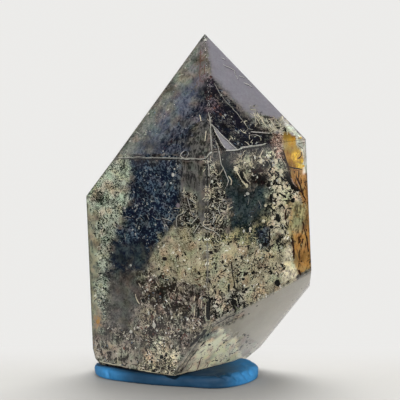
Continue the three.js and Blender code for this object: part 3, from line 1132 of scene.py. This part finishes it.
# Pixels across and down, half width in pixels, and stretch upright
spots = {
    "veinWhite": [
        (172.9, 174.9, 1.7, 1), (170.9, 183, 1, 1), (174.5, 169, 0.9, 1), (124.8, 208, 1.4, 1),
        (155.5, 224.6, 1, 1), (130.6, 265.3, 1.3, 0.8), (154, 325, 1.9, 1.6), (157, 330.6, 1.2, 0.8),
        (148.6, 313, 0.9, 2.4), (148.5, 113.6, 1, 1.2), (130, 141.2, 1, 1), (185.2, 67.9, 0.8, 1),
        # the white spots from 287 to 305 across, along the right shoulder, are chips, partly painted glints
        (205, 40, 1.6, 0.8), (287.5, 122.4, 1.1, 1), (290.4, 126, 1.3, 1), (293.4, 130.6, 1.4, 1),
        (297, 137.4, 1.4, 1.2), (303.8, 150, 1.2, 3), (304.6, 163, 1, 4), (212, 181.4, 1.5, 0.9),
        (262.4, 160.6, 1.4, 1), (268.6, 157.6, 1.2, 1), (272.4, 161, 1.4, 1.2), (273.6, 165, 1.5, 1),
        (247.6, 193.6, 1.9, 0.7), (271.6, 199, 1.1, 1.7), (281.4, 247.8, 1.2, 1), (260.6, 245, 1.3, 1),
        (131, 331.6, 1.7, 1), (134.4, 328.6, 0.9, 1.8), (137.6, 327.4, 1.1, 1), (147.4, 289.6, 1.4, 1),
        (147, 285.6, 1, 0.8), (204.6, 286.4, 1.2, 1), (245, 195.4, 0.9, 0.8), (277, 180.6, 1.2, 1),
        (170, 336.6, 1.1, 1), (243.8, 231, 1.1, 1.5), (171.4, 346, 1.1, 1.6), (213, 206, 1.4, 0.8),
    ],
    "mauve": [(177.8, 205.6, 2, 1.1), (277, 283.4, 1.7, 1), (233, 309.6, 1.2, 0.8), (238, 306, 1, 1)],
    "paleCream": [
        (236.2, 169, 2.4, 1), (246.6, 185.4, 1.8, 1), (261, 161.4, 1.8, 1.2), (276, 161.4, 2, 1.3),
        (276.4, 168.6, 1.7, 1), (281, 171.6, 2.2, 1.1), (279.6, 179.6, 1.8, 1), (273.4, 177.4, 1.8, 1.2),
        (284.4, 186.6, 2, 1), (279, 190.6, 2.1, 1), (273.8, 186.8, 1.6, 1), (283.4, 194, 1.6, 1),
        (274.8, 195.4, 1.7, 1.4), (278.6, 203, 2, 1.1), (284, 202.4, 1.5, 1), (272.6, 218, 1.8, 1.2),
        (281.8, 214, 2.1, 1), (284.6, 221.6, 1.6, 1.4), (276.4, 230.4, 2, 1), (282.4, 232, 1.6, 1),
        (271, 252, 1.6, 1), (286.6, 256.4, 1.6, 1.3), (288.4, 268, 2, 1.2), (292, 272, 1.6, 1),
        (265.6, 205.6, 1.5, 1), (263.4, 221, 1.7, 0.9), (250.4, 228.6, 1.4, 1),
    ],
    "soot": [
        (241, 174.6, 2.1, 1.7), (266.8, 163.4, 1.8, 1.4), (253, 178, 2.2, 0.9), (263.4, 178.6, 2.6, 0.9),
        (259, 182.4, 2, 1), (257.6, 174.4, 1.6, 0.8), (268.4, 185, 2, 1.2), (288.4, 178.4, 2.4, 1.5),
        (292.6, 186.6, 2.2, 1.4), (277.6, 218, 2.2, 1.7), (277.6, 241, 2.1, 0.8), (271.6, 227, 2.2, 0.8),
        (277.4, 283, 3.1, 1.05), (161.6, 357, 2.2, 1), (166.2, 355.6, 1.4, 1), (151.6, 361.6, 1.3, 1),
        (152.4, 358, 1, 1), (143.4, 300.4, 1.7, 1.5), (185, 152.6, 1.9, 1), (278, 127.8, 1.9, 0.8),
        (292.6, 200.6, 2.4, 0.9), (253.4, 272.6, 1.9, 1.1), (246, 289.4, 1.8, 0.9), (254, 290.6, 1, 1),
        (241.6, 257.4, 1.3, 1.2), (236, 259.6, 1.5, 0.8), (243, 279, 1.6, 0.8), (233, 302.6, 2.6, 1),
        (271.4, 273, 1.3, 1.2), (262, 166, 1.2, 1.3), (293.6, 199.4, 1.6, 1), (227.6, 311, 1.6, 0.9),
    ],
    "umber": [
        (164.6, 258.8, 2.6, 0.7), (159, 269, 1.5, 1), (156.4, 299.4, 1.5, 1), (180.4, 332, 1, 1.2),
        (179.6, 338.4, 1.5, 1), (248.9, 313.9, 1.3, 0.6), (237.3, 350.4, 1.4, 0.7), (241, 347, 1.2, 0.8),
        (292.5, 300.2, 0.8, 0.7), (301.6, 288.6, 0.8, 0.8), (246, 342, 0.9, 1.6), (200.2, 248.7, 1.6, 0.8),
        (262.6, 294.8, 1, 0.7), (256.6, 295.4, 0.8, 0.8), (257, 306, 1.2, 0.6), (216, 250.6, 1, 2),
        (222.6, 262, 1.3, 1.4),
    ],
    "brownRed": [(124, 348.4, 1.3, 1.2), (268.8, 338, 1, 0.7)],
    "ochre": [(97.8, 321.6, 2.1, 1.3)],
    # painted glints of light shining through the iron stain
    "stainGlowYellow": [
        (295.6, 156.4, 1.2, 1), (302, 161, 1.5, 1.2), (303.4, 166, 1.2, 1), (300.6, 137.8, 1.1, 0.8),
    ],
}


def makeSpots():
    draw = random.Random(drawSeeds["spots"])
    for tint, places in spots.items():
        shape = bmesh.new()
        for across, down, halfWidth, stretch in places:
            radius = halfWidth * photo["pixelSize"]
            stand = Matrix.Translation(under((across, down), veinLook["depth"]))
            size = Matrix.Diagonal((1, spotLook["flat"], stretch)).to_4x4()
            made = bmesh.ops.create_icosphere(shape, subdivisions=2, radius=radius, matrix=stand @ size)
            dented(made, draw, spotLook["dent"], radius)
        piece = linkMesh(tint + "Spots", shape, stoneMaterial(tint + "Spot", tint))
        keptInside(piece.data)
        finishPiece(piece, "iron_stain" if tint in spotLook["rusty"] else "garden")


# The flat triangular fracture in the middle of the roof, its shine painted in as a light grey
shard = {
    "corners": [(211.2, 124), (226, 150.3), (237, 149.4)],
    "depth": 0.44 * mm,
    "thickness": 0.04 * mm,
}


def makeShard():
    shape = bmesh.new()
    corners = [shape.verts.new(under(pixel, shard["depth"])) for pixel in shard["corners"]]
    bmesh.ops.contextual_create(shape, geom=corners)
    bmesh.ops.solidify(shape, geom=shape.faces[:], thickness=shard["thickness"])
    bmesh.ops.recalc_face_normals(shape, faces=shape.faces)
    finishPiece(linkMesh("fractureShard", shape, stoneMaterial("fractureShard", "shardGrey")), "garden")


# Curled threads of moss and clay on the garden
threadLook = {
    "bits": 5,  # straight stretches in a thread
    "bendPerBit": 0.6,
    "wander": 0.3,
}

# Tint, length and thickness in mm, how much they bend and how upright they stand, and the share of places
# that has one in each zone
threads = {
    "paleCurls": {
        "tint": "paleCream",
        "length": (0.5, 1.2),
        "thick": (0.035, 0.065),
        "bend": 1.1,
        "upright": 0,
        "zones": {
            "wormsRight": 0.1, "wormsLeft": 0.07, "phantom": 0.012, "darkCluster": 0.04, "darkGrey": 0.012,
        },
    },
    "steelCurls": {
        "tint": "steel",
        "length": (0.4, 1.1),
        "thick": (0.02, 0.045),
        "bend": 0.8,
        "upright": 0.3,
        "zones": {"navyPanel": 0.035, "slatePool": 0.006, "roofNavy": 0.01, "phantom": 0.01},
    },
    "mossCurls": {
        "tint": "paleMoss",
        "length": (0.4, 1.0),
        "thick": (0.03, 0.065),
        "bend": 0.9,
        "upright": 0.4,
        "zones": {"mossStrip": 0.05, "roofHaze": 0.006, "creamOlive": 0.02},
    },
    "creamCurls": {
        "tint": "cream",
        "length": (0.4, 1.0),
        "thick": (0.04, 0.08),
        "bend": 0.8,
        "upright": 0.2,
        "zones": {
            "creamBlack": 0.04, "creamOlive": 0.02, "creamLeft": 0.02, "raggedLight": 0.06,
            "creamSpotted": 0.02, "beige": 0.03,
        },
    },
    "blackCurls": {
        "tint": "soot",
        "length": (0.4, 1.2),
        "thick": (0.04, 0.09),
        "bend": 0.9,
        "upright": 0,
        "zones": {
            "creamBlack": 0.04, "wormsRight": 0.04, "wormsLeft": 0.04, "darkCluster": 0.05,
            "creamOlive": 0.012, "beige": 0.02, "mossStrip": 0.02, "raggedLight": 0.03,
            "creamSpotted": 0.03,
        },
    },
    "umberCurls": {
        "tint": "umber",
        "length": (0.4, 1.1),
        "thick": (0.03, 0.07),
        "bend": 0.8,
        "upright": 0.3,
        "zones": {
            "creamLeft": 0.02, "creamOlive": 0.02, "rustMiddle": 0.02, "rustLow": 0.012,
            "lowerLeft": 0.015,
        },
    },
}


def makeThreads(name, kind, seed):
    draw = random.Random(seed)
    points, facing, place = surface
    wander = threadLook["wander"]
    strands = []
    for zoneName, share in kind["zones"].items():
        inZone = list(np.flatnonzero(place == zoneOrder.index(zoneName)))
        for spot in draw.sample(inZone, int(len(inZone) * share)):
            outward = Vector(facing[spot])
            radius = draw.uniform(*kind["thick"]) * mm
            bitLength = draw.uniform(*kind["length"]) * mm / threadLook["bits"]
            heading = Vector([draw.uniform(-1, 1) for axis in range(3)])
            heading = heading.normalized().lerp(Vector((0, 0, 1)), kind["upright"])
            heading = (heading - outward * heading.dot(outward)).normalized()
            bend = draw.uniform(-kind["bend"], kind["bend"]) * threadLook["bendPerBit"]
            route = [Vector(points[spot]) + outward * radius]
            for bit in range(threadLook["bits"]):
                heading = Matrix.Rotation(bend + draw.uniform(-wander, wander), 3, outward) @ heading
                route.append(route[-1] + heading * bitLength)
            strands.append((radius, route))
    makeStrands(name, "garden", stoneMaterial(name, kind["tint"]), strands)


# The putty: the CAD pad's form with the dents and creases of pressing it by hand
putty = {
    "voxel": 0.25 * mm,
    "softening": (0.5, 6),  # how far, and how many times
    "dents": ((5, 0.22), (1.8, 0.12), (0.6, 0.05)),  # size and depth, in mm
    "creases": [
        [(218, 373.6), (223, 376), (227.4, 378.6)],
        [(235.7, 373.5), (239, 379), (243, 384.5)],
        [(228, 372), (234, 375), (238.5, 381)],
        [(241, 370), (246, 376), (249, 381)],
        [(107, 372), (108, 377)],
        [(244, 364), (250, 369), (252, 374)],
    ],
    "creaseWidth": 1.1,  # in pixels
    "creaseDepth": 0.28,
    "flatUpTo": 0.15 * mm,  # it lies flat on the table
    "dentedFrom": 0.65 * mm,
    "tint": (0.014, 0.117, 0.262),
    "paleTint": (0.034, 0.168, 0.355),
    "mottle": {"Scale": 420, "Detail": 5, "Roughness": 0.6},
    "mottleLevels": (0.35, 0.65, 0, 1),
    "pores": {"Scale": 5200, "Detail": 3, "Roughness": 0.6},
    "bump": {"Strength": 0.45, "Distance": 0.05 * mm},
    "shade": 0.16,  # the share of the tint left in the painted shade over the pad's middle, under the crystal
    "paintedShadeAlong": (-15.5 * mm, -9 * mm, 3 * mm, 8 * mm),
    "shader": {"Roughness": 0.6, "Specular IOR Level": 0.15},
}


def puttyMaterial():
    material, tree, shader = newMaterial("bluePutty", putty["shader"])
    places = placesIn(tree)
    mottle = mapped(tree, textured(tree, places, **putty["mottle"]), *putty["mottleLevels"])
    colour = mixed(tree, "RGBA", mottle, (*putty["tint"], 1), (*putty["paleTint"], 1))
    # painted shade: the pad's middle, under the crystal, is darkened and its ends stay light
    across = axesOf(tree, places)["X"]
    leftEnd, leftFull, rightFull, rightEnd = putty["paintedShadeAlong"]
    rise = mapped(tree, across, leftEnd, leftFull, 1, putty["shade"], smooth=True)
    fall = mapped(tree, across, rightFull, rightEnd, putty["shade"], 1, smooth=True)
    paintedShade = addNode(tree, "ShaderNodeHueSaturation")
    tree.links.new(combined(tree, "MAXIMUM", rise, fall), paintedShade.inputs["Value"])
    tree.links.new(colour, paintedShade.inputs["Color"])
    tree.links.new(paintedShade.outputs["Color"], shader.inputs["Base Color"])
    bump = addNode(tree, "ShaderNodeBump", **putty["bump"])
    tree.links.new(textured(tree, places, **putty["pores"]), bump.inputs["Height"])
    tree.links.new(bump.outputs["Normal"], shader.inputs["Normal"])
    return material


def makePutty():
    piece = linkMesh("pressedPutty", mergedCopy("putty_pad"), puttyMaterial())
    addRemesh(piece, putty["voxel"])
    smooth = piece.modifiers.new("soften", "SMOOTH")
    smooth.factor, smooth.iterations = putty["softening"]
    mesh = applied(piece)
    points, facing = verticesOf(mesh)
    sunk = np.zeros(len(points))
    for seed, (size, depth) in enumerate(putty["dents"], noiseSeeds["dents"]):
        sunk += (0.5 + noiseAt(points, size * mm, seed)) * depth
    pixels = projected(points)
    seen = facing @ forward < 0
    for crease in putty["creases"]:
        gap = np.full(len(points), np.inf)
        for start, end in zip(crease, crease[1:]):
            gap = np.minimum(gap, segmentGap(pixels, np.array(start), np.array(end)))
        sunk += seen * putty["creaseDepth"] * np.exp(-((gap / putty["creaseWidth"]) ** 2))
    flat, full = putty["flatUpTo"], putty["dentedFrom"]
    sunk *= np.clip((points[:, 2] - flat) / (full - flat), 0, 1)
    moveVertices(mesh, points - facing * sunk[:, None] * mm)
    finishPiece(piece, "putty", "putty_pad")


# The studio: a pale floor that lightens away from the crystal into the white room, and soft light
studio = {
    "floorTint": (0.325, 0.32, 0.307),
    "floorHalf": 0.6,
    "floorShader": {"Roughness": 0.7, "Specular IOR Level": 0},
    "poolMiddle": (0, -120 * mm, 0),
    "poolSquash": (0.6, 1, 1),  # the plain floor in front is wider than deep
    "poolEdge": (118 * mm, 142 * mm),
    "nearShadeTint": (0.05, 0.049, 0.047),  # the table towards the camera, out of the picture, darkened as painted shade that the front faces reflect
    "nearFrom": (-46 * mm, -27 * mm),
    "nearWiden": -0.35,
    "roomColor": (1.0, 0.993, 0.975),
    "roomStrength": 0.84,
    "ceilingStrength": 0.1,
    "ceilingFrom": (0.35, 0.6),  # sines of the elevations where the room darkens
    "lights": {
        "backKey": {"at": (0.012, 0.085, 0.24), "wide": 0.17, "high": 0.2, "power": 1.35},
        "window": {"at": (0.05, -0.42, 0.12), "wide": 0.5, "high": 0.2, "power": 4.0},
    },
}


def makeRoom():
    world = bpy.data.worlds.new("studio")
    world.use_nodes = True
    tree = world.node_tree
    background = tree.nodes["Background"]
    background.inputs["Color"].default_value = (*studio["roomColor"], 1)
    up = axesOf(tree, addNode(tree, "ShaderNodeTexCoord").outputs["Generated"])["Z"]
    levels = (studio["roomStrength"], studio["ceilingStrength"])
    tree.links.new(
        mapped(tree, up, *studio["ceilingFrom"], *levels, smooth=True), background.inputs["Strength"]
    )
    bpy.context.scene.world = world


def makeLights():
    for name, light in studio["lights"].items():
        data = bpy.data.lights.new(name, "AREA")
        data.shape = "RECTANGLE"
        data.size = light["wide"]
        data.size_y = light["high"]
        data.energy = light["power"]
        lamp = linked(name, data)
        lamp.location = light["at"]
        lamp.rotation_euler = (photo["lookAt"] - lamp.location).to_track_quat("-Z", "Y").to_euler()


def makeFloor():
    material, tree, shader = newMaterial(
        "paleFloor", {**studio["floorShader"], "Emission Color": (*studio["roomColor"], 1)}
    )
    places = placesIn(tree)
    squash = addNode(tree, "ShaderNodeMapping", vector_type="POINT", Scale=studio["poolSquash"])
    tree.links.new(places, squash.inputs["Vector"])
    offset = addNode(tree, "ShaderNodeVectorMath", operation="DISTANCE")
    tree.links.new(squash.outputs["Vector"], offset.inputs[0])
    offset.inputs[1].default_value = studio["poolMiddle"]
    away = offset.outputs["Value"]
    glow = mapped(tree, away, *studio["poolEdge"], 0, studio["roomStrength"], smooth=True)
    along = axesOf(tree, places)
    sideways = combined(tree, "ABSOLUTE", along["X"], 0)
    towards = combined(tree, "ADD", along["Y"], combined(tree, "MULTIPLY", sideways, studio["nearWiden"]))
    near = mapped(tree, towards, *studio["nearFrom"], 0, 1, smooth=True)
    plain = mixed(tree, "RGBA", near, (*studio["nearShadeTint"], 1), (*studio["floorTint"], 1))
    beyond = mapped(tree, away, *studio["poolEdge"], 0, 1, smooth=True)
    tree.links.new(mixed(tree, "RGBA", beyond, plain, (0, 0, 0, 1)), shader.inputs["Base Color"])
    tree.links.new(glow, shader.inputs["Emission Strength"])
    shape = bmesh.new()
    bmesh.ops.create_grid(shape, x_segments=1, y_segments=1, size=studio["floorHalf"])
    floor = linkMesh("floor", shape, material)


eye = placeCamera()
planes = crystalPlanes()
makeRoom()
makeLights()
makeFloor()
bpy.context.scene.view_settings.view_transform = "Standard"
print("studio made")
makeCrystal()
surface = makeGarden()
for seed, (name, kind) in enumerate(grains.items(), drawSeeds["grains"]):
    makeGrains(name, kind, seed)
for seed, (name, kind) in enumerate(threads.items(), drawSeeds["threads"]):
    makeThreads(name, kind, seed)
makeVeins()
makeSpots()
makeShard()
makePutty()
